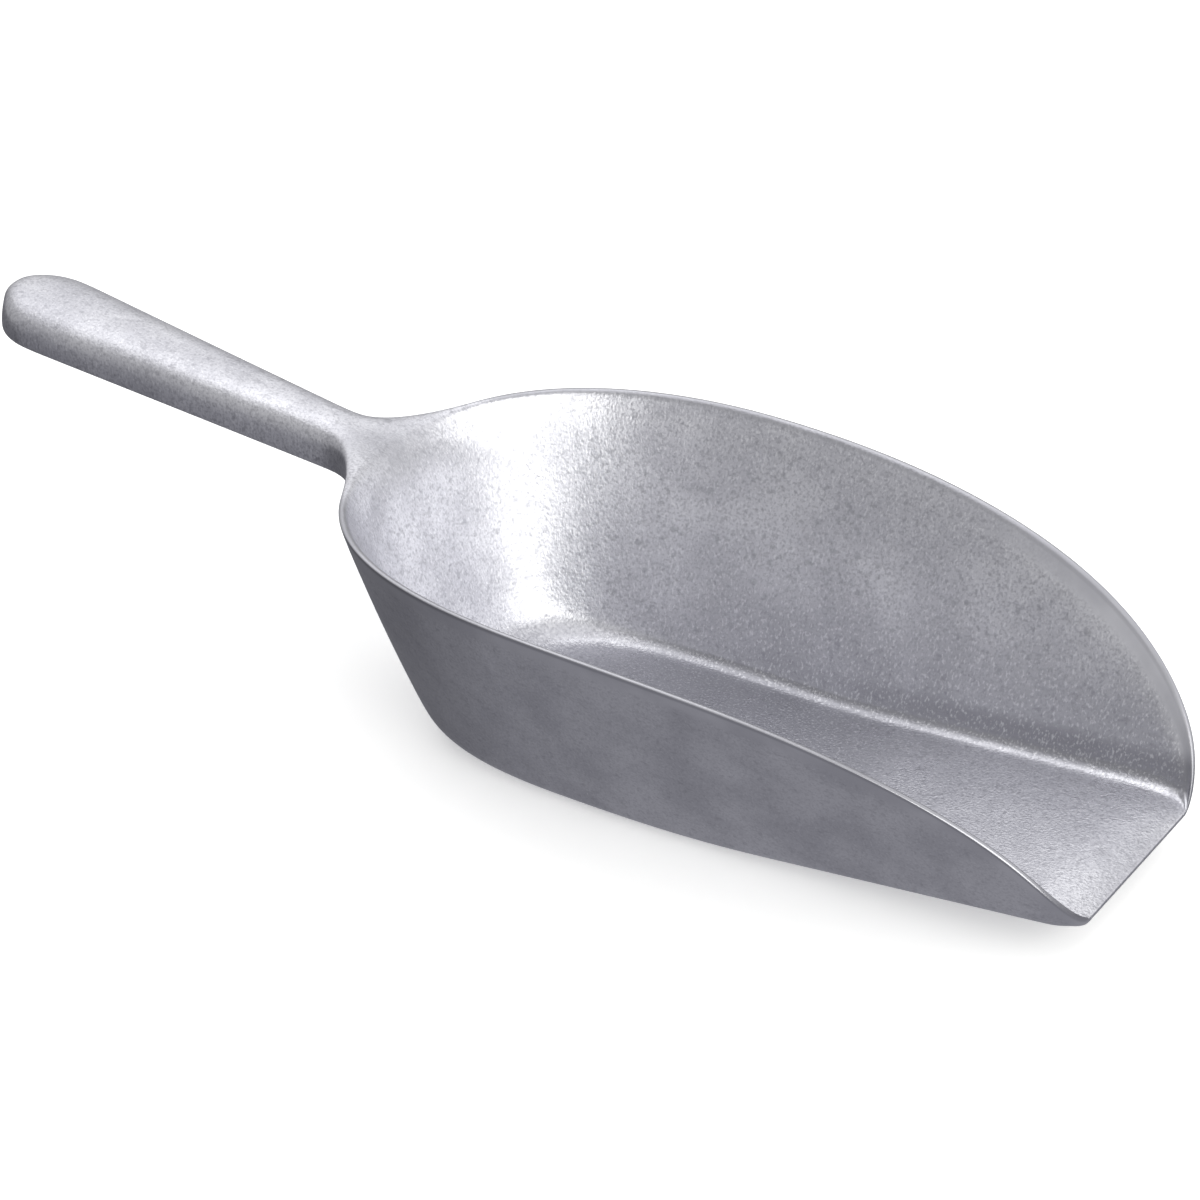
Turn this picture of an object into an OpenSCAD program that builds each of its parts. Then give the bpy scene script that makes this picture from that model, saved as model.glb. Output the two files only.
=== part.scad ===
// Cast aluminium ice scoop: an open drafted bowl with a raised lip, and a crowned grip.
// X runs along the scoop towards the lip, Y across it and Z up.
// The origin is on the flat of the base, below the widest station of the bowl.

/* [Bowl] */
// Distance from the widest station back to the rim
bowl_rear = 89; // [80:1:98]
// Distance from the widest station forward to the lip
bowl_front = 116; // [100:1:130]
// Width of the bowl at the widest station, at its full depth
rim_width = 127; // [115:1:140]
// Height of the rim above the base
bowl_depth = 61; // [54:1:68]
// Squareness of the back of the rim, where 2 is an ellipse
rim_squareness = 2.5; // [2.2:0.1:3]
// Narrowing of the rim's outline on each side between the widest station and the lip
rim_taper = 1; // [0:0.5:4]
// Sharpness of the drop of the rim towards the lip
rim_drop = 3.95; // [3:0.05:4.5]

/* [Floor] */
// Width of the base at the widest station, to the sharp corner under the wall
floor_width = 71.5; // [64:0.5:78]
// Distance from the widest station back to the sharp corner under the back wall
floor_rear = 66; // [60:1:70]
// Squareness of the back of the base
floor_squareness = 3.5; // [3:0.1:4]
// Narrowing of the base on each side between the widest station and the lip
floor_taper = 3.5; // [0:0.5:6]
// Distance from the widest station forward to where the base starts to rise
knee_x = 22; // [16:1:40]
// Angle at which the front of the base rises to the lip
lip_angle = 5; // [2:0.5:7]
// Radius outside the corner between the base and the side walls
side_radius = 8; // [6:0.5:10]
// Radius outside the corner between the base and the back wall
back_radius = 18; // [12:1:20]
// Radius inside the corner between the floor and the side walls
inner_radius = 3; // [2:0.5:5]

/* [Wall] */
// Thickness of the walls
wall = 2.8; // [2.2:0.1:3.4]
// Thickness of the floor
floor_thickness = 3; // [2.4:0.1:3.6]
// Thickness of the floor at the very edge of the lip
lip_thickness = 1.2; // [0.8:0.1:2.2]

/* [Handle] */
// Length of the handle behind the neck
handle_length = 103.5; // [88:0.5:120]
// Upward pitch of the handle
handle_pitch = 7.5; // [4:0.5:12]
// Width of the handle at the neck
neck_width = 16; // [13:0.5:20]
// Width of the handle at its rounded end
grip_width = 30; // [26:0.5:36]
// Height of the upright sides of the handle
side_height = 3.3; // [2.4:0.1:5]
// Height of the crown above the upright sides
crown_height = 7.5; // [5:0.5:9]
// Width of the root of the neck on the back wall
root_width = 56; // [44:1:60]

/* [Hidden] */
rear_steps = 16;
front_steps = 14;
fillet_steps = 5;
wall_steps = 5;
knee_blend = 12;        // half the length over which the base turns upwards
lip_overrun = 0.9;      // the rim's curve ends this far beyond the lip
lip_rise = lip_thickness + wall / 2 + 0.3;  // height of the rim above the base at the lip
lip_corner = 6;         // radius of the lip's corners, seen from above
lip_bevel = 14;         // length over which the floor thins towards the lip
neck_x = -104;          // start of the handle's axis, at its lowest line
neck_z = 52.9;
root_base_z = 49.5;     // lowest line of the neck where it meets the back wall
root_drop = 0.8;        // the neck's root stays this far below the rim
belly = 1.2;            // roundness of the underside of the handle
underside_share = 0.95; // width of the underside as a share of the handle's width
crown_squareness = 2.6;
end_radius = 15;        // length of the rounded end of the handle
end_droop = 0.15;       // share of the handle's thickness lost at the very end
neck_steps = 5;
grip_steps = 12;
end_steps = 8;
crown_steps = 7;
last = rear_steps + front_steps;

function mix(a, b, k) = a + (b - a) * k;

// ---- Outlines of the bowl ----

// Height of the underside of the base at a distance along the scoop
function base_z(x) =
    let (s = x - knee_x)
    tan(lip_angle) * (s > knee_blend ? s : s < -knee_blend ? 0 : pow(s + knee_blend, 2) / (4 * knee_blend));

// Height of the rim at a distance along the scoop
function rim_z(x) =
    let (
        lip_share = rim_share(bowl_front),
        end_z = (base_z(bowl_front) + lip_rise - bowl_depth * lip_share) / (1 - lip_share)
    )
    mix(end_z, bowl_depth, rim_share(x));

// The rim's height as a share of the bowl's depth, falling to 0 just beyond the lip
function rim_share(x) =
    let (t = (x + bowl_rear) / (bowl_rear + bowl_front + lip_overrun))
    sqrt(1 - pow(max(t, 0), rim_drop));

// A point of half an outline: column 0 is the middle of the back and the last column is the lip.
// k is the height as a share of the depth, and inset moves the outline inwards.
function half_outline(column, k, inset) =
    column <= rear_steps ? rear_outline(90 * column / rear_steps, k, inset)
                         : front_outline(sin(90 * (column - rear_steps) / front_steps), k, inset);

function rear_outline(angle, k, inset) =
    let (power = 2 / mix(floor_squareness, rim_squareness, k))
    [-(mix(floor_rear, bowl_rear, k) - inset) * pow(max(cos(angle), 0), power),
     (mix(floor_width, rim_width, k) / 2 - inset) * pow(sin(angle), power)];

function front_outline(reach, k, inset) =
    let (
        x = bowl_front * reach,
        into_corner = max(0, x - bowl_front + lip_corner),
        corner = lip_corner - sqrt(pow(lip_corner, 2) - pow(into_corner, 2))
    )
    [x, mix(floor_width, rim_width, k) / 2 - inset - mix(floor_taper, rim_taper, k) * reach - corner];

// Share of a column that belongs to the side walls rather than to the back wall
function sideness(column) = column >= rear_steps ? 1 : pow(sin(90 * column / rear_steps), 2);

// Thickness of the floor at a distance along the scoop
function floor_at(x) =
    mix(floor_thickness, lip_thickness, pow(max(0, 1 - (bowl_front - x) / lip_bevel), 2));

// ---- Section through the wall, as [inset from the outer face, height above the base] ----

// Arc between the floor and the drafted wall, rising from the floor
function corner_arc(radius, slope, corner, lift) =
    let (draft = atan(slope), tangent = radius * tan((90 - draft) / 2))
    [for (i = [0 : fillet_steps])
        let (a = mix(90, draft, i / fillet_steps), h = lift + radius * (1 - sin(a)))
        [slope * h - (corner - tangent + radius * cos(a)), h]];

function reversed(list) = [for (i = [len(list) - 1 : -1 : 0]) list[i]];

function wall_section(column, height, lift) =
    let (
        side = sideness(column),
        slope = mix(bowl_rear - floor_rear, (rim_width - floor_width) / 2, side) / bowl_depth,
        skin = wall / cos(atan(slope)),
        outer_radius = min(mix(back_radius, side_radius, side), height),
        hollow_radius = min(mix(back_radius - wall, inner_radius, side), height - lift - wall / 2),
        outer_arc = corner_arc(outer_radius, slope, 0, 0),
        inner_arc = corner_arc(hollow_radius, slope, slope * lift - skin, lift),
        shoulder = height - wall / 2,
        outer_foot = outer_arc[fillet_steps][1],
        inner_foot = inner_arc[fillet_steps][1]
    )
    concat(
        outer_arc,
        [for (i = [1 : wall_steps]) [0, mix(outer_foot, max(shoulder, outer_foot), i / wall_steps)]],
        [for (a = [45, 90, 135]) [skin / 2 * (1 - cos(a)), height - wall / 2 * (1 - sin(a))]],
        [for (i = [wall_steps : -1 : 1]) [skin, mix(inner_foot, max(shoulder, inner_foot), i / wall_steps)]],
        reversed(inner_arc)
    );

// The section of one column, placed: side is 1 for +Y and -1 for -Y
function placed_section(column, side) =
    let (
        top = half_outline(column, 1, 0),
        foot_x = half_outline(column, 0, 0)[0],
        height = rim_z(top[0]) - base_z(foot_x)
    )
    [for (p = wall_section(column, height, floor_at(foot_x)))
        let (q = half_outline(column, p[1] / bowl_depth, p[0]))
        [q[0], side * q[1], base_z(q[0]) + p[1]]];

// ---- Bowl ----

module shell() {
    sections = [for (c = [-last : last]) placed_section(abs(c), c < 0 ? 1 : -1)];
    rings = len(sections[0]);
    points = [for (s = sections) each s];
    function at(c, i) = (c + last) * rings + i;
    polyhedron(points, concat(
        [for (c = [-last : last - 1], i = [0 : rings - 2]) each [
            [at(c, i), at(c + 1, i), at(c + 1, i + 1)],
            [at(c, i), at(c + 1, i + 1), at(c, i + 1)]]],
        // underside and top of the floor, in strips across the scoop
        [for (c = [1 : last - 1]) [at(-c - 1, 0), at(c + 1, 0), at(c, 0), at(-c, 0)]],
        [[at(-1, 0), at(1, 0), at(0, 0)]],
        [for (c = [1 : last - 1]) reversed([for (s = [-c - 1, c + 1, c, -c]) at(s, rings - 1)])],
        [reversed([for (s = [-1, 1, 0]) at(s, rings - 1)])],
        // the front edge of the lip
        [concat([for (i = [rings - 1 : -1 : 0]) at(-last, i)], [for (i = [0 : rings - 1]) at(last, i)])]
    ));
}

// Distance along the scoop of the back wall's middle surface at a place across it and a height
function back_wall_x(y, z) =
    let (
        k = z / bowl_depth,
        power = mix(floor_squareness, rim_squareness, k),
        half = mix(floor_width, rim_width, k) / 2 - wall / 2
    )
    -(mix(floor_rear, bowl_rear, k) - wall / 2) * pow(1 - pow(min(abs(y) / half, 1), power), 1 / power);

// The neck spreads from the handle's section to its root inside the back wall
module neck() {
    outline = handle_outline();
    handle_height = belly + side_height + crown_height;
    base_drop = root_base_z - neck_z;
    top_drop = bowl_depth - root_drop - (neck_z + side_height + crown_height);
    loft([for (i = [0 : neck_steps])
        let (
            u = i / neck_steps,
            spread = 1 - sqrt(1 - u * u),
            half = mix(neck_width, root_width, spread) / 2
        )
        [for (p = outline)
            let (
                y = p[0] * half,
                start = along_handle(0, 0, p[1]),
                z = start[2] + u * mix(base_drop, top_drop, (p[1] + belly) / handle_height)
            )
            [mix(start[0], back_wall_x(y, z), u), y, z]]]);
}

module bowl() {
    color("silver") union() {
        shell();
        neck();
    }
}

// ---- Handle ----

// Section of the handle for a half width of 1: a flat underside, upright sides and a crowned top
function handle_outline() =
    let (power = 2 / crown_squareness)
    concat(
        [for (i = [0 : 2 * crown_steps])
            let (a = 90 * i / crown_steps, c = cos(a))
            [sign(c) * pow(abs(c), power), side_height + crown_height * pow(max(sin(a), 0), power)]],
        [for (i = [2 * crown_steps : -1 : 0])
            let (a = 90 * i / crown_steps, c = cos(a))
            [underside_share * sign(c) * pow(abs(c), power), -belly * pow(max(sin(a), 0), power)]]
    );

// A place on the pitched handle: s along it, y across it and z above its lowest line
function along_handle(s, y, z) =
    [neck_x - s * cos(handle_pitch) + z * sin(handle_pitch), y,
     neck_z + s * sin(handle_pitch) + z * cos(handle_pitch)];

function handle_ring(s) =
    let (
        over = max(0, s - (handle_length - end_radius)) / end_radius,
        half = mix(neck_width, grip_width, s / handle_length) / 2 * sqrt(max(0.02, 1 - over * over)),
        thick = 1 - end_droop * pow(over, 4)
    )
    [for (p = handle_outline()) along_handle(s, p[0] * half, p[1] * thick)];

// A closed skin through rings of points. Each end is covered by strips from its crown to its underside.
module loft(rings) {
    n = len(rings[0]);
    final = len(rings) - 1;
    function at(r, i) = r * n + i % n;
    function strip(r, i) = [at(r, i), at(r, i + 1), at(r, n - 2 - i), at(r, n - 1 - i)];
    polyhedron([for (r = rings) each r], concat(
        [for (i = [0 : n / 2 - 2]) strip(0, i)],
        [for (r = [0 : final - 1], i = [0 : n - 1]) each [
            [at(r, i), at(r + 1, i), at(r + 1, i + 1)],
            [at(r, i), at(r + 1, i + 1), at(r, i + 1)]]],
        [for (i = [0 : n / 2 - 2]) reversed(strip(final, i))]
    ));
}

module handle() {
    straight = handle_length - end_radius;
    color("gainsboro") loft(concat(
        [for (i = [0 : grip_steps]) handle_ring(straight * i / grip_steps)],
        [for (i = [1 : end_steps]) handle_ring(straight + end_radius * sin(90 * i / end_steps))]
    ));
}

bowl();
handle();
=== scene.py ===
import math

import bpy
from mathutils import Euler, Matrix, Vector


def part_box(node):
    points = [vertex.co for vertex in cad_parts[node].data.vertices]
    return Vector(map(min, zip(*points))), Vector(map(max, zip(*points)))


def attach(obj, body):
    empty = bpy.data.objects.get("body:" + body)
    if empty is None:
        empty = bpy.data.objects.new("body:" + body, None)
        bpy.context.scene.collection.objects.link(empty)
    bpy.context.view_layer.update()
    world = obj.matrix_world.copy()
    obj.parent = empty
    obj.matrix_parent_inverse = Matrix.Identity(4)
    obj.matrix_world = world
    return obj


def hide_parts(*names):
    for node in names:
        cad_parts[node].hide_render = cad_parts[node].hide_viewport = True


# ---- The casting's dimensions in millimetres, as in the CAD apart from the two that say otherwise ----

MM = 0.001
BOWL_REAR = 89          # from the widest station back to the rim
RIM_WIDTH = 127
BOWL_DEPTH = 61
RIM_SQUARENESS = 2.5    # of the back of the rim, where 2 is an ellipse
RIM_TAPER = 1           # narrowing on each side between the widest station and the lip
RIM_DROP = 3.95         # sharpness of the drop of the rim towards the lip
FLOOR_WIDTH = 71.5      # to the sharp corner under the wall
FLOOR_REAR = 66         # from the widest station back to the sharp corner under the back wall
FLOOR_SQUARENESS = 3.5
FLOOR_TAPER = 3.5
KNEE_X = 22             # where the base starts to rise to the lip
KNEE_BLEND = 12         # half the length over which the base turns upwards
LIP_SLOPE = math.tan(math.radians(5))
LIP_OVERRUN = 0.9       # the rim's curve ends this far beyond the lip
LIP_RISE = 1.8          # height of the rim above the base at the lip, 1.1 less than the CAD's
LIP_CORNER = 6          # radius of the lip's corners, seen from above
LIP_BEVEL = 14          # length over which the floor thins to the lip
SIDE_RADIUS = 8         # outside the corner between the base and the side walls
BACK_RADIUS = 18        # outside the corner between the base and the back wall
INNER_RADIUS = 5        # inside the corner between the floor and the side walls, 2 more than the CAD's
WALL = 2.8
FLOOR_THICKNESS = 3
LIP_THICKNESS = 1.2
HANDLE_LENGTH = 103.5
HANDLE_PITCH = math.radians(7.5)
NECK_X = -104           # the handle's lowest line starts here
NECK_Z = 52.9
NECK_WIDTH = 16
GRIP_WIDTH = 30
SIDE_HEIGHT = 3.3
CROWN_HEIGHT = 7.5
CROWN_SQUARENESS = 2.6
BELLY = 1.2             # fall of the middle of the handle's underside below its edges
UNDERSIDE_SHARE = 0.95  # width of the handle's underside, as a share of its full width
END_RADIUS = 15         # length of the rounded end of the handle
END_DROOP = 0.15        # share of the handle's thickness that is lost at its rounded end

# ---- The cage: columns of points round the bowl, and rings along the handle ----

REAR_COLUMNS = 16
FRONT_COLUMNS = 16
LAST = REAR_COLUMNS + FRONT_COLUMNS
CORNER = 9              # the column at each rear corner of the floor
REAR_SPACING = 1.25     # above 1, it brings the rear columns in towards the middle of the back
FLOOR_FADE = 1.5        # how fast the floor's cross lines lose the curve of the back
NECK = 5                # the neck takes the columns from -NECK to NECK
FILLET_STEPS = 5
RIM_ROWS = (11.1, 7.4, 4.0)   # depths of the neck's rows below the rim's edge, at the middle of the back
ROOT_TAPER = 0.62       # the rows' depth at the edge of the neck, as a share of that
ROLL_RADIUS = 3.5       # radius over the inside of the rim where the neck's top runs over it
ROLL_COLUMNS = 4        # the columns over which that radius shrinks to the rim's own
RIM_THICKNESS = 1.9     # the wall thins to this at the rim
RIM_EDGE = 0.6          # radius along the outer edge of the rim
FILLET_SHARE = 0.35     # the most of the inner wall's height that its fillet may take
LEAST_FILLET = 0.1      # the least radius of that fillet
LEAST_STRAIGHT = 0.2    # the least height of straight wall between a fillet and the rim
THINNING = 9            # depth below the rim at which the wall starts to thin
NECK_RINGS = 6
NECK_SPREAD = 0.85      # below 1, the neck widens sooner on its way to the wall
EDGE_CROWDING = 1.35    # above 1, the points of the handle's underside crowd towards its edges
SIDE_POINT = 1.3        # height of the point between the handle's underside and its side
CROWN_ANGLES = (18, 34, 48)   # the first three points up the crown of the handle, in degrees
GRIP_RINGS = 10
END_RINGS = 4
HANDLE_SMOOTHNESS = 0.4 # the share of the outer walls' smoothness that the handle has
UNDRESSED = 8           # keeps the neck's top out of the dressed edge of the rim and its painted shade, as a depth below it
NECK_FADE = 2           # the columns beyond the neck over which that depth runs out
END_ANGLE = 64          # where the rounded end changes from rings to a cap, in degrees
SUBDIVISIONS = 2


def mix(a, b, k):
    return a + (b - a) * k


def clamp(value):
    return min(max(value, 0.0), 1.0)


def smooth(value):
    k = clamp(value)
    return k * k * (3 - 2 * k)


def base_z(x):
    """Height of the underside of the base at a distance along the scoop."""
    s = x - KNEE_X
    if s > KNEE_BLEND:
        return LIP_SLOPE * s
    return LIP_SLOPE * max(s + KNEE_BLEND, 0) ** 2 / (4 * KNEE_BLEND)


def rim_share(x, bowl_front):
    """The rim's height as a share of the bowl's depth, falling to 0 just beyond the lip."""
    t = (x + BOWL_REAR) / (BOWL_REAR + bowl_front + LIP_OVERRUN)
    return math.sqrt(1 - max(t, 0) ** RIM_DROP)


def rim_z(x, bowl_front):
    lip_share = rim_share(bowl_front, bowl_front)
    end_z = (base_z(bowl_front) + LIP_RISE - BOWL_DEPTH * lip_share) / (1 - lip_share)
    return mix(end_z, BOWL_DEPTH, rim_share(x, bowl_front))


def floor_at(x, bowl_front):
    """Thickness of the floor, which thins towards the lip."""
    return mix(FLOOR_THICKNESS, LIP_THICKNESS, max(0, 1 - (bowl_front - x) / LIP_BEVEL) ** 2)


def rear_angle(column):
    """Angle of a column behind the widest station, spaced evenly across the back."""
    return math.radians(90) * (column / REAR_COLUMNS) ** REAR_SPACING


def half_outline(column, k, inset, bowl_front):
    """A point of half an outline: column 0 is the middle of the back and LAST is the lip."""
    half = mix(FLOOR_WIDTH, RIM_WIDTH, k) / 2 - inset
    if column <= REAR_COLUMNS:
        power = 2 / mix(FLOOR_SQUARENESS, RIM_SQUARENESS, k)
        angle = rear_angle(column)
        reach = mix(FLOOR_REAR, BOWL_REAR, k) - inset
        return -reach * max(math.cos(angle), 0) ** power, half * math.sin(angle) ** power
    reach = math.sin(math.radians(90) * (column - REAR_COLUMNS) / FRONT_COLUMNS)
    into_corner = max(0, bowl_front * (reach - 1) + LIP_CORNER)
    corner = LIP_CORNER - math.sqrt(LIP_CORNER ** 2 - into_corner ** 2)
    return bowl_front * reach, half - mix(FLOOR_TAPER, RIM_TAPER, k) * reach - corner


def corner_arc(radius, slope, corner, lift):
    """Arc between the floor and the drafted wall, rising from the floor."""
    draft = math.atan(slope)
    tangent = radius * math.tan((math.radians(90) - draft) / 2)
    arc = []
    for step in range(FILLET_STEPS + 1):
        a = mix(math.radians(90), draft, step / FILLET_STEPS)
        h = lift + radius * (1 - math.sin(a))
        arc.append((slope * h - (corner - tangent + radius * math.cos(a)), h))
    return arc


def wall_heights(foot, shoulder, column):
    """Heights of the rows up a wall, gathered below the rim and deepest where the neck joins."""
    shoulder = max(shoulder, foot + LEAST_STRAIGHT)
    spread = min(mix(1, ROOT_TAPER, smooth(abs(column) / NECK)), (shoulder - foot) / (2 * RIM_ROWS[0]))
    upper = [shoulder - d * spread for d in RIM_ROWS]
    lower = [mix(foot, upper[0], k) for k in (1 / 3, 2 / 3)]
    return lower + upper + [shoulder]


def wall_section(column, height, lift):
    """Section through the wall, as (inset from the outer face, height above the base)."""
    side = 1 if column >= REAR_COLUMNS else math.sin(rear_angle(column)) ** 2
    slope = mix(BOWL_REAR - FLOOR_REAR, (RIM_WIDTH - FLOOR_WIDTH) / 2, side) / BOWL_DEPTH
    skin = WALL / math.cos(math.atan(slope))
    roll = mix(ROLL_RADIUS, RIM_THICKNESS / 2, smooth(abs(column) / ROLL_COLUMNS))
    outer = corner_arc(min(mix(BACK_RADIUS, SIDE_RADIUS, side), height), slope, 0, 0)
    inner_height = height - lift - roll
    hollow = max(LEAST_FILLET, min(mix(BACK_RADIUS - WALL, INNER_RADIUS, side), FILLET_SHARE * inner_height))
    inner = corner_arc(hollow, slope, slope * lift - skin, lift)
    up = [(0, h) for h in wall_heights(outer[-1][1], height - RIM_EDGE, column)]
    slant = 1 - math.sqrt(0.5)
    rim = [(RIM_EDGE * slant, height - RIM_EDGE * slant),
           (RIM_THICKNESS - roll, height),
           (RIM_THICKNESS - roll * slant, height - roll * slant)]
    down = []
    for h in reversed(wall_heights(inner[-1][1], height - roll, column)):
        down.append((mix(skin, RIM_THICKNESS, smooth(1 - (height - h) / THINNING)), h))
    return outer + up + rim + down + inner[::-1]


def placed_section(column, bowl_front):
    """The section of one column, as (place, depth below the rim). Columns below zero are on the +Y side."""
    across = 1 if column < 0 else -1
    top_x = half_outline(abs(column), 1, 0, bowl_front)[0]
    foot_x = half_outline(abs(column), 0, 0, bowl_front)[0]
    height = rim_z(top_x, bowl_front) - base_z(foot_x)
    on_neck = 1 - smooth(abs(column) / (NECK + NECK_FADE))
    placed = []
    for inset, h in wall_section(abs(column), height, floor_at(foot_x, bowl_front)):
        x, y = half_outline(abs(column), h / BOWL_DEPTH, inset, bowl_front)
        depth = height - h + on_neck * UNDRESSED
        placed.append((Vector((x, across * y, base_z(x) + h)), depth))
    return placed


def back_wall_x(y, z):
    """Distance along the scoop of the outer face of the back wall."""
    k = z / BOWL_DEPTH
    power = mix(FLOOR_SQUARENESS, RIM_SQUARENESS, k)
    half = mix(FLOOR_WIDTH, RIM_WIDTH, k) / 2
    return -mix(FLOOR_REAR, BOWL_REAR, k) * (1 - min(abs(y) / half, 1) ** power) ** (1 / power)


def along_handle(s, y, z):
    """A place on the pitched handle: s along it, y across it and z above its lowest line."""
    return Vector((NECK_X - s * math.cos(HANDLE_PITCH) + z * math.sin(HANDLE_PITCH), y,
                   NECK_Z + s * math.sin(HANDLE_PITCH) + z * math.cos(HANDLE_PITCH)))


def crown_point(degrees):
    power = 2 / CROWN_SQUARENESS
    a = math.radians(degrees)
    return math.cos(a) ** power, SIDE_HEIGHT + CROWN_HEIGHT * math.sin(a) ** power


def handle_section():
    """Half widths and heights round the handle's section, in the order of the neck's loop on the wall."""
    *shoulders, crown_start = CROWN_ANGLES
    bottom = []
    for j in range(-NECK, NECK + 1):
        f = math.copysign(1 - (1 - abs(j) / NECK) ** EDGE_CROWDING, j)
        sag = BELLY * (1 - abs(f) ** CROWN_SQUARENESS) ** (1 / CROWN_SQUARENESS)
        bottom.append((UNDERSIDE_SHARE * f, -sag))
    side = [(mix(UNDERSIDE_SHARE, 1, 0.5), SIDE_POINT), (1, SIDE_HEIGHT)]
    side += [crown_point(degrees) for degrees in shoulders]
    top = []
    for j in range(NECK, -NECK - 1, -1):
        f, h = crown_point(mix(90, crown_start, abs(j) / NECK))
        top.append((math.copysign(f, j) if j else 0.0, h))
    other = [(-f, h) for f, h in reversed(side)]
    return bottom + side + top + other


def handle_half(s):
    return mix(NECK_WIDTH, GRIP_WIDTH, s / HANDLE_LENGTH) / 2


class Cage:
    """Points in millimetres, how far each is below the rim, where the outer walls are, and the faces."""

    def __init__(self):
        self.points = []
        self.depths = []
        self.outside = []
        self.faces = []

    def add(self, point, depth=BOWL_DEPTH, outside=0.0):
        self.points.append(point)
        self.depths.append(depth)
        self.outside.append(outside)
        return len(self.points) - 1

    def skin(self, grid, closed=False, flip=False):
        """Quads over a grid of point indices."""
        for row, after in zip(grid, grid[1:]):
            count = len(row) if closed else len(row) - 1
            for i in range(count):
                j = (i + 1) % len(row)
                quad = (row[i], after[i], after[j], row[j])
                self.faces.append(quad[::-1] if flip else quad)


def add_walls(cage, bowl_front):
    """The wall of the bowl, without the patch that the neck covers. Returns its points by column and row."""
    walls = {}
    for c in range(-LAST, LAST + 1):
        section = placed_section(c, bowl_front)
        middle = len(section) // 2
        walls[c] = [cage.add(point, depth, float(i < middle)) for i, (point, depth) in enumerate(section)]
    low, top = neck_rows()
    for c in range(-LAST, LAST):
        for i in range(len(walls[c]) - 1):
            under_neck = -NECK <= c < NECK and low <= i < top
            if not under_neck:
                cage.faces.append((walls[c][i], walls[c + 1][i], walls[c + 1][i + 1], walls[c][i + 1]))
    return walls


def neck_rows():
    """The rows of a section that bound the neck: its underside and the top of the rim."""
    low = FILLET_STEPS + 3              # above the fillet's points and the wall's two lower rows
    return low, low + len(RIM_ROWS) + 2     # past the shoulder and over the rim's outer edge


def add_floor(cage, walls, row, is_base, bowl_front):
    """The base or the floor: lines of points across it, curved at the back and straight at the lip."""
    back = [cage.points[walls[c][row]] for c in range(-CORNER, CORNER + 1)]
    lines = [[walls[c][row] for c in range(-CORNER, CORNER + 1)]]
    for c in range(CORNER + 1, LAST + 1):
        near = walls[-c][row]
        far = walls[c][row]
        end = cage.points[near]
        share = (c - CORNER) / (REAR_COLUMNS - CORNER)
        fade = (1 - clamp(share)) ** FLOOR_FADE
        line = [near]
        for point in back[1:-1]:
            x = end.x + (point.x - back[0].x) * fade
            y = point.y / back[0].y * end.y
            lift = 0 if is_base else floor_at(x, bowl_front)
            line.append(cage.add(Vector((x, y, base_z(x) + lift)), outside=float(is_base)))
        lines.append(line + [far])
    cage.skin(lines, flip=not is_base)
    return lines


def add_lip(cage, walls, under, over):
    """The front edge of the lip, between the underside and the floor, and its ends up the walls."""
    cage.skin([under[-1], over[-1]])
    for c, flip in ((-LAST, True), (LAST, False)):
        section = walls[c]
        half = len(section) // 2
        ladder = [section[:half], section[:half:-1]]
        cage.skin(ladder, flip=flip)
        tip = (section[half - 1], section[half], section[half + 1])
        cage.faces.append(tip if flip else tip[::-1])


def add_handle(cage, walls):
    """The neck's fillet from its loop on the wall, the grip and the rounded end."""
    low, top = neck_rows()
    section = handle_section()
    columns = range(NECK, -NECK - 1, -1)
    loop = [walls[c][low] for c in columns]
    loop += [walls[-NECK][i] for i in range(low + 1, top)]
    loop += [walls[c][top] for c in reversed(columns)]
    loop += [walls[NECK][i] for i in range(top - 1, low, -1)]

    # from the wall, where u is 1, to the start of the grip
    rings = [loop]
    for step in range(NECK_RINGS - 1, -1, -1):
        angle = math.radians(90) * step / NECK_RINGS
        u = math.sin(angle)
        spread = (1 - math.cos(angle)) ** NECK_SPREAD
        ring = []
        for index, (f, h) in zip(loop, section):
            wall = cage.points[index]
            start = along_handle(0, f * handle_half(0), h)
            y = mix(start.y, wall.y, spread)
            z = mix(start.z, wall.z, u)
            end_x = wall.x + back_wall_x(y, z) - back_wall_x(wall.y, wall.z)
            ring.append(cage.add(Vector((mix(start.x, end_x, u), y, z))))
        rings.append(ring)

    straight = HANDLE_LENGTH - END_RADIUS
    stations = [(straight * step / GRIP_RINGS, 0) for step in range(1, GRIP_RINGS + 1)]
    for step in range(1, END_RINGS + 1):
        over = math.sin(math.radians(END_ANGLE) * step / END_RINGS)
        stations.append((straight + END_RADIUS * over, over))
    for s, over in stations:
        half = handle_half(s) * math.sqrt(1 - over * over)
        thick = 1 - END_DROOP * over ** 4
        places = [along_handle(s, f * half, h * thick) for f, h in section]
        rings.append([cage.add(point, outside=HANDLE_SMOOTHNESS) for point in places])
    cage.skin(rings, closed=True)
    add_end_cap(cage, rings[-1], section, thick)


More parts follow.
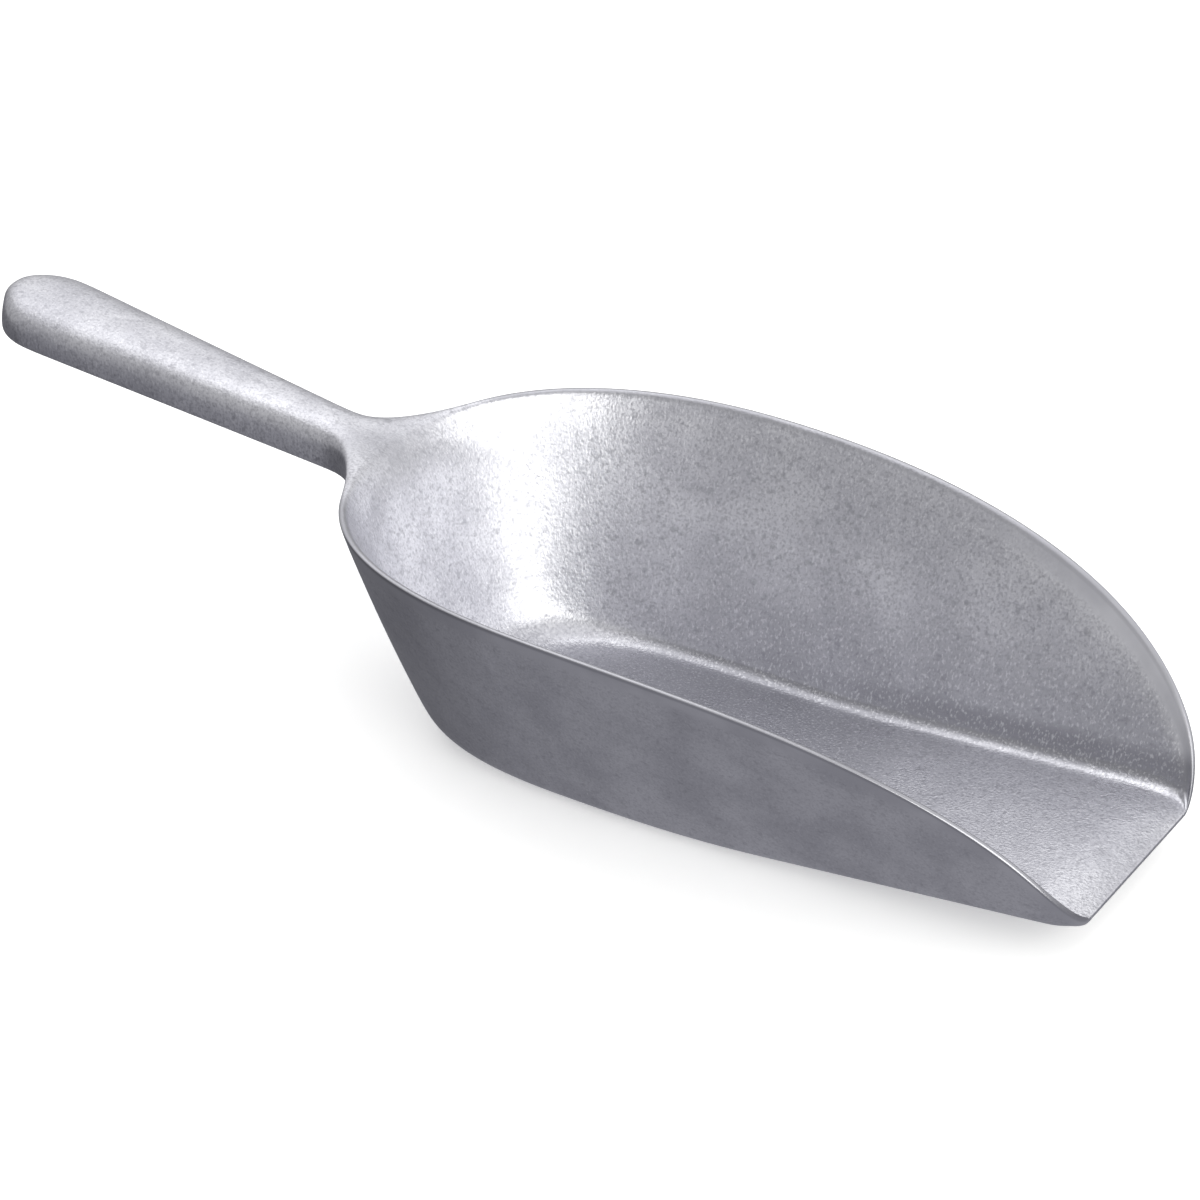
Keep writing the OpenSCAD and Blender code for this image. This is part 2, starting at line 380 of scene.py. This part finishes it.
def add_end_cap(cage, ring, section, thick):
    """A bulged grid of quads over the last ring of the handle."""
    straight = HANDLE_LENGTH - END_RADIUS
    across = 2 * NECK + 1
    up = len(RIM_ROWS) + 3
    # the ring's points along each side of the grid
    bottom = list(range(across))
    right = [across - 1 + i for i in range(up)]
    top = [2 * across + up - 3 - i for i in range(across)]
    left = [(len(ring) - i) % len(ring) for i in range(up)]
    half_last = abs(cage.points[ring[right[0]]].y)
    grid = []
    for i in range(up):
        line = []
        foot, head = section[right[0]][1], section[right[-1]][1]
        rise = (section[right[i]][1] - foot) / (head - foot)
        for j in range(across):
            if i == 0:
                line.append(ring[bottom[j]])
            elif i == up - 1:
                line.append(ring[top[j]])
            elif j == 0:
                line.append(ring[left[i]])
            elif j == across - 1:
                line.append(ring[right[i]])
            else:
                f = section[bottom[j]][0] * mix(1, section[right[i]][0], abs(section[bottom[j]][0]))
                h = mix(section[bottom[j]][1], section[top[j]][1], rise) * thick
                y = f * half_last
                s = straight + END_RADIUS * math.sqrt(1 - (y / handle_half(HANDLE_LENGTH)) ** 2)
                line.append(cage.add(along_handle(s, y, h), outside=HANDLE_SMOOTHNESS))
        grid.append(line)
    cage.skin(grid)


def build_casting(bowl_front):
    """The whole casting as one subdivided skin."""
    cage = Cage()
    walls = add_walls(cage, bowl_front)
    under = add_floor(cage, walls, 0, True, bowl_front)
    over = add_floor(cage, walls, len(walls[0]) - 1, False, bowl_front)
    add_lip(cage, walls, under, over)
    add_handle(cage, walls)
    mesh = bpy.data.meshes.new("casting")
    mesh.from_pydata([p * MM for p in cage.points], [], cage.faces)
    for name, values in (("below_rim", cage.depths), ("outside", cage.outside)):
        mesh.attributes.new(name, "FLOAT", "POINT").data.foreach_set("value", values)
    casting = bpy.data.objects.new("casting", mesh)
    bpy.context.scene.collection.objects.link(casting)
    for polygon in mesh.polygons:
        polygon.use_smooth = True
    subdivide = casting.modifiers.new("subdivide", "SUBSURF")
    subdivide.levels = SUBDIVISIONS
    subdivide.render_levels = SUBDIVISIONS
    return casting


# ---- Materials ----

# Stains and painted shade on the metal, as (centre and radius in millimetres, strength, shade)
STAINS_AND_SHADE = (
    ((-91, 0, 61), 17, 0.35, (0.4, 0.4, 0.43, 1)),          # painted shade over the top of the neck's root
    ((-89.5, -1, 60), 7, 0.3, (0.3, 0.3, 0.33, 1)),         # painted shade, darkest where the root runs over the rim
    ((-94.7, 7.2, 62), 1.6, 0.5, (0.25, 0.25, 0.28, 1)),    # two marks on the root
    ((-95.4, -3, 63), 1.3, 0.5, (0.25, 0.25, 0.28, 1)),
    ((107.2, -1, 9.5), 3, 0.35, (0.3, 0.3, 0.33, 1)),       # a smudge near the lip
)


def add_node(tree, kind, settings=None, inputs=None):
    """A shader node. Each input is given either a value or the socket that feeds it."""
    made = tree.nodes.new(kind)
    for name, value in (settings or {}).items():
        setattr(made, name, value)
    for name, value in (inputs or {}).items():
        if isinstance(value, bpy.types.NodeSocket):
            tree.links.new(value, made.inputs[name])
        else:
            made.inputs[name].default_value = value
    return made


def calculate(tree, operation, a, b):
    return add_node(tree, "ShaderNodeMath", {"operation": operation}, {0: a, 1: b}).outputs[0]


def overlap(tree, first, *others):
    """The part that all the masks share."""
    for mask in others:
        first = calculate(tree, "MULTIPLY", first, mask)
    return first


def opposite(tree, mask):
    return calculate(tree, "SUBTRACT", 1.0, mask)


def remap(tree, value, start, end, low=0.0, high=1.0):
    """The value as it goes smoothly from low to high while its source goes from start to end."""
    inputs = {"Value": value, "From Min": start, "From Max": end, "To Min": low, "To Max": high}
    return add_node(tree, "ShaderNodeMapRange", {"interpolation_type": "SMOOTHSTEP"}, inputs).outputs[0]


def in_millimetres(tree, distance):
    return calculate(tree, "DIVIDE", distance, MM)


def object_space(tree, stretch=(1, 1, 1), turn=(0, 0, 0)):
    """The casting's own coordinates, squeezed along an axis to stretch the pattern that uses them."""
    place = add_node(tree, "ShaderNodeTexCoord").outputs["Object"]
    inputs = {"Vector": place, "Scale": stretch, "Rotation": turn}
    return add_node(tree, "ShaderNodeMapping", None, inputs).outputs[0]


def noise_pattern(tree, place, size, detail):
    """Cloudy noise from 0 to 1 with features of about this size in millimetres."""
    inputs = {"Vector": place, "Scale": 1 / (size * MM), "Detail": detail}
    return add_node(tree, "ShaderNodeTexNoise", None, inputs).outputs[0]


def specks(tree, place, spacing, radius, rarity):
    """Round specks: one cell in a few has a speck, with a soft edge. Sizes are in millimetres."""
    cells = add_node(tree, "ShaderNodeTexVoronoi", None, {"Vector": place, "Scale": 1 / (spacing * MM)})
    spot = remap(tree, cells.outputs["Distance"], radius / spacing, 0.4 * radius / spacing)
    chance = add_node(tree, "ShaderNodeSeparateColor", None, {0: cells.outputs["Color"]}).outputs[0]
    return overlap(tree, spot, calculate(tree, "GREATER_THAN", chance, rarity))


def blend(tree, share, first, second):
    """A colour that goes from the first to the second."""
    made = add_node(tree, "ShaderNodeMix", {"data_type": "RGBA"}, {"Factor": share})
    for socket, value in zip((made.inputs[6], made.inputs[7]), (first, second)):
        if isinstance(value, bpy.types.NodeSocket):
            tree.links.new(value, socket)
        else:
            socket.default_value = value
    return made.outputs[2]


def bump(tree, height, depth, normal=None, strength=1.0):
    """A relief of this depth in millimetres, on top of another one."""
    inputs = {"Height": height, "Distance": depth * MM, "Strength": strength}
    if normal:
        inputs["Normal"] = normal
    return add_node(tree, "ShaderNodeBump", None, inputs).outputs[0]


def patch(tree, place, centre, radius):
    """A soft round patch about a place on the casting, in millimetres."""
    middle = [value * MM for value in centre]
    inputs = {0: place, 1: middle}
    distance = add_node(tree, "ShaderNodeVectorMath", {"operation": "DISTANCE"}, inputs).outputs["Value"]
    return remap(tree, distance, radius * MM, 0.4 * radius * MM)


def surface_masks(tree, place):
    """Where the metal looks different, each from 0 to 1. Heights and distances are in millimetres."""
    depth = add_node(tree, "ShaderNodeAttribute", {"attribute_name": "below_rim"}).outputs["Fac"]
    outside = add_node(tree, "ShaderNodeAttribute", {"attribute_name": "outside"}).outputs["Fac"]
    inside = opposite(tree, outside)
    axes = add_node(tree, "ShaderNodeSeparateXYZ", None, {0: place}).outputs
    along = in_millimetres(tree, axes["X"])
    past_knee = calculate(tree, "MAXIMUM", calculate(tree, "SUBTRACT", along, KNEE_X), 0.0)
    base = calculate(tree, "MULTIPLY", past_knee, LIP_SLOPE)
    above_base = calculate(tree, "SUBTRACT", in_millimetres(tree, axes["Z"]), base)

    # the edge of the rim, dressed after casting, whose colour also carries painted shade
    dressed_and_shaded = remap(tree, depth, 1.6, 0.2)
    # the inside towards the lip
    near_lip = overlap(tree, remap(tree, along, 30, 80), inside)
    # a band below the rim that has lost its grain, and the grain everywhere else, which is weaker outside
    smooth_band = overlap(tree, remap(tree, depth, 6, 3.5), calculate(tree, "MAXIMUM", outside, near_lip))
    coarse = overlap(tree, opposite(tree, smooth_band), remap(tree, outside, 0.2, 0.8, 1.0, 0.5))
    # the floor and the start of its fillet, and the stretch of floor back from the lip, darkened with
    # painted shade
    worn_floor = overlap(tree, remap(tree, above_base, 5.8, 4.9), inside)
    floor_shade = overlap(tree, worn_floor, remap(tree, along, 75, 5), remap(tree, along, -65, -10, 0.1, 1.0))
    # painted shade at the foot of the side walls, and on their fillet, which is darkest towards the lip
    low_wall_shade = overlap(tree, remap(tree, above_base, 34, 14), inside, opposite(tree, worn_floor),
                       remap(tree, along, -50, -10))
    # painted shade over the fillet, where a highlight falls
    fillet = overlap(tree, remap(tree, above_base, 3.2, 4), remap(tree, above_base, 12, 8),
                     remap(tree, along, -40, 90), inside)
    # painted shade on the inside of the back, a little below the top of the neck
    under_neck = overlap(tree, remap(tree, depth, 9, 11.5), remap(tree, depth, 19, 13), inside,
                         remap(tree, along, -70, -82))
    return {
        "dressed_and_shaded": dressed_and_shaded,
        "near_lip": near_lip,
        "coarse": coarse,
        "worn_floor": worn_floor,
        "floor_shade": floor_shade,
        "low_wall_shade": low_wall_shade,
        "fillet": fillet,
        "under_neck": under_neck,
    }


def layer(tree, colour, layers):
    """A colour under others, given as (mask, strength, shade) from the lowest to the highest."""
    for mask, strength, shade in layers:
        colour = blend(tree, overlap(tree, mask, strength), colour, shade)
    return colour


def cast_aluminium():
    """Tumbled sand-cast aluminium: a fine grain, cloudy shades, small marks and smoother dressed rims, with
    painted shade on the floor, the foot of the walls, round the neck and along the rim.
    """
    material = bpy.data.materials.new("cast_aluminium")
    material.use_nodes = True
    tree = material.node_tree
    shader = tree.nodes["Principled BSDF"]
    shader.inputs["Metallic"].default_value = 1

    place = object_space(tree)
    clouds = noise_pattern(tree, place, size=16, detail=4)
    marks = noise_pattern(tree, place, size=1.7, detail=4)
    grain = noise_pattern(tree, place, size=0.7, detail=3)
    flecks = noise_pattern(tree, object_space(tree, stretch=(1, 1, 0.4)), size=0.6, detail=2)
    waves = noise_pattern(tree, object_space(tree, stretch=(1, 1, 0.2)), size=13, detail=2)
    scratch_space = object_space(tree, stretch=(1, 1, 0.04), turn=(0.5, 0.7, 0.2))
    scratches = specks(tree, scratch_space, spacing=5, radius=0.16, rarity=0.88)
    masks = surface_masks(tree, place)
    coarse = masks["coarse"]

    # colour: the clouds, the shades of the regions, most of them painted shade, the grain, then single marks
    # with painted shade round the neck, and the dressed edge with its painted shade
    colour = blend(tree, remap(tree, clouds, 0.34, 0.66), (0.51, 0.51, 0.55, 1), (0.62, 0.62, 0.658, 1))
    colour = layer(tree, colour, (
        (masks["near_lip"], 0.1, (0.4, 0.4, 0.43, 1)),
        # painted shade on the floor back from the lip
        (masks["floor_shade"], 0.9, (0.29, 0.29, 0.32, 1)),
        # painted shade at the foot of the side walls and on their fillet
        (masks["low_wall_shade"], 0.6, (0.33, 0.33, 0.36, 1)),
        (masks["fillet"], 0.75, (0.22, 0.22, 0.245, 1)),
        # painted shade below the top of the neck
        (masks["under_neck"], 0.5, (0.36, 0.36, 0.39, 1)),
    ))
    colour = layer(tree, colour, (
        (remap(tree, grain, 0.55, 0.35, 0.0, 0.5), coarse, (0.32, 0.32, 0.355, 1)),
        (remap(tree, flecks, 0.52, 0.7, 0.0, 0.38), coarse, (0.82, 0.82, 0.85, 1)),
        (remap(tree, marks, 0.54, 0.7, 0.0, 0.45), coarse, (0.26, 0.26, 0.29, 1)),
        (scratches, 0.6, (0.9, 0.9, 0.93, 1)),
    ))
    # the first two are painted shade round the neck's root; the rest are marks and a smudge
    for centre, radius, strength, shade in STAINS_AND_SHADE:
        colour = layer(tree, colour, [(patch(tree, place, centre, radius), strength, shade)])
    # painted shade: the dressed edge is darkened to dim the bright line of light along the rim
    colour = layer(tree, colour, [(masks["dressed_and_shaded"], 0.8, (0.36, 0.36, 0.39, 1))])
    tree.links.new(colour, shader.inputs["Base Color"])

    # gloss: rough as cast, smoother where it is dressed or worn
    roughness = remap(tree, clouds, 0.3, 0.7, 0.42, 0.35)
    for mask, polish in ((masks["dressed_and_shaded"], 0.06), (masks["worn_floor"], 0.1)):
        roughness = calculate(tree, "SUBTRACT", roughness, overlap(tree, mask, polish))
    tree.links.new(roughness, shader.inputs["Roughness"])

    # relief: broad waves from the sand mould, weaker on the worn floor, and the grain on top of them
    normal = bump(tree, waves, 0.4, strength=remap(tree, masks["worn_floor"], 0, 1, 1.0, 0.3))
    normal = bump(tree, overlap(tree, flecks, coarse), 0.08, normal)
    normal = bump(tree, overlap(tree, grain, coarse), 0.07, normal)
    tree.links.new(normal, shader.inputs["Normal"])
    return material


def floor_material():
    """Matt and pale from above, and clear from below so that the underside of the part can be seen."""
    material = bpy.data.materials.new("pale_floor")
    material.use_nodes = True
    tree = material.node_tree
    shader = tree.nodes["Principled BSDF"]
    shader.inputs["Base Color"].default_value = (0.92, 0.92, 0.92, 1)
    shader.inputs["Roughness"].default_value = 0.9
    shader.inputs["Emission Color"].default_value = (1, 1, 1, 1)
    shader.inputs["Emission Strength"].default_value = FLOOR_GLOW
    clear = add_node(tree, "ShaderNodeBsdfTransparent").outputs[0]
    below = add_node(tree, "ShaderNodeNewGeometry").outputs["Backfacing"]
    inputs = {0: below, 1: shader.outputs[0], 2: clear}
    surface = add_node(tree, "ShaderNodeMixShader", None, inputs).outputs[0]
    tree.links.new(surface, tree.nodes["Material Output"].inputs["Surface"])
    return material


# ---- Stage ----

LIGHT_DISTANCE = 1.6    # metres
WHITE = (1, 1, 1)
KEY_COLOUR = (1, 1, 0.95)   # a little warm, so that the brightest reflections lose the metal's blue
SKY = (0.62, 0.62, 0.62, 1)
SKY_BEHIND_CAMERA = (0.49, 0.49, 0.5, 1)
BACKDROP = (0.95, 0.95, 0.95, 1)    # beyond the floor, seen by the camera but not by the metal
GROUND_NEAR = (0.37, 0.37, 0.4, 1)
GROUND_BEHIND = (0.16, 0.16, 0.175, 1)
FLOOR_GLOW = 0.3
# (name, azimuth and elevation in degrees, width and height in metres, brightness, colour)
SOFTBOXES = (
    ("key", -23, 22, 2.4, 1.35, 2.65, KEY_COLOUR),
    ("fill", -80, 15, 1.2, 1.2, 0.33, WHITE),
    ("side", 50, 33, 2.0, 1.6, 0.6, WHITE),
    ("back", 138, 53, 1.8, 1.4, 0.9, WHITE),
    ("top", 0, 90, 1.6, 1.6, 0.65, WHITE),
)
CAMERA_LENS = 120       # on a sensor of this width, both in millimetres
SENSOR_WIDTH = 36
CAMERA_TURN = math.radians(31.92)
CAMERA_ELEVATION = math.radians(30.21)
CAMERA_DISTANCE = 995.2     # from the target, both in millimetres
CAMERA_TARGET = Vector((-42.4, 22.2, 19.4))
NEAREST_SEEN = 0.05         # metres
FURTHEST_SEEN = 20


def add_camera():
    data = bpy.data.cameras.new("camera")
    data.lens = CAMERA_LENS
    data.sensor_width = SENSOR_WIDTH
    data.clip_start = NEAREST_SEEN
    data.clip_end = FURTHEST_SEEN
    camera = bpy.data.objects.new("camera", data)
    camera.rotation_euler = Euler((math.radians(90) - CAMERA_ELEVATION, 0, CAMERA_TURN))
    back = camera.rotation_euler.to_matrix() @ Vector((0, 0, 1))
    camera.location = (CAMERA_TARGET + back * CAMERA_DISTANCE) * MM
    bpy.context.scene.collection.objects.link(camera)
    bpy.context.scene.camera = camera


def add_floor_plane():
    """A wide floor just under the casting, which the lights make pale and the metal doesn't reflect."""
    size = 6
    gap = 0.2 * MM
    corners = [(-size, -size, -gap), (size, -size, -gap), (size, size, -gap), (-size, size, -gap)]
    mesh = bpy.data.meshes.new("floor")
    mesh.from_pydata(corners, [], [(0, 1, 2, 3)])
    mesh.materials.append(floor_material())
    floor = bpy.data.objects.new("floor", mesh)
    floor.visible_glossy = False
    bpy.context.scene.collection.objects.link(floor)


def add_softbox(name, azimuth, elevation, width, height, brightness, colour):
    """A large soft light facing the casting. Its brightness is what a mirror would show."""
    data = bpy.data.lights.new(name, "AREA")
    data.shape = "RECTANGLE"
    data.size, data.size_y = width, height
    data.energy = brightness * math.pi * width * height
    data.color = colour
    light = bpy.data.objects.new(name, data)
    turn = Euler((math.radians(90 - elevation), 0, math.radians(azimuth + 90)))
    light.rotation_euler = turn
    light.location = turn.to_matrix() @ Vector((0, 0, LIGHT_DISTANCE))
    light.visible_camera = False
    bpy.context.scene.collection.objects.link(light)


def add_world():
    """A pale sky, darker low down behind the camera, and a dark ground, darkest behind the handle."""
    world = bpy.data.worlds.new("world")
    world.use_nodes = True
    tree = world.node_tree
    direction = add_node(tree, "ShaderNodeTexCoord").outputs["Generated"]
    axes = add_node(tree, "ShaderNodeSeparateXYZ", None, {0: direction}).outputs
    ground = blend(tree, remap(tree, axes["X"], -0.35, -0.7), GROUND_NEAR, GROUND_BEHIND)
    behind_camera = overlap(tree, remap(tree, axes["Y"], -0.2, -0.8), remap(tree, axes["Z"], 0.7, 0.3))
    sky = blend(tree, behind_camera, SKY, SKY_BEHIND_CAMERA)
    colour = blend(tree, remap(tree, axes["Z"], -0.15, 0.1), ground, sky)
    seen = add_node(tree, "ShaderNodeLightPath").outputs["Is Camera Ray"]
    tree.links.new(blend(tree, seen, colour, BACKDROP), tree.nodes["Background"].inputs["Color"])
    tree.nodes["Background"].inputs["Strength"].default_value = 1
    bpy.context.scene.world = world


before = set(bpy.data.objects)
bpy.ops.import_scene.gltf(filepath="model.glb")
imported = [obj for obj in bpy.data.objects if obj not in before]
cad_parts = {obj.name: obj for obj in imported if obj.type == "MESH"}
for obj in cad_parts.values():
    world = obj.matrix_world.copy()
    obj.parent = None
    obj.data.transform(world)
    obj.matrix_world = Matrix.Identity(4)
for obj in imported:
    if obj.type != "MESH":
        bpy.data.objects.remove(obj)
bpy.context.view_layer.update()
bowl_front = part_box("bowl")[1].x / MM

casting = build_casting(bowl_front)
casting.data.materials.append(cast_aluminium())
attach(casting, "root")
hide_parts("bowl", "handle")

add_floor_plane()
add_world()
for softbox in SOFTBOXES:
    add_softbox(*softbox)
add_camera()
bpy.context.scene.view_settings.view_transform = "Standard"

bpy.context.view_layer.update()
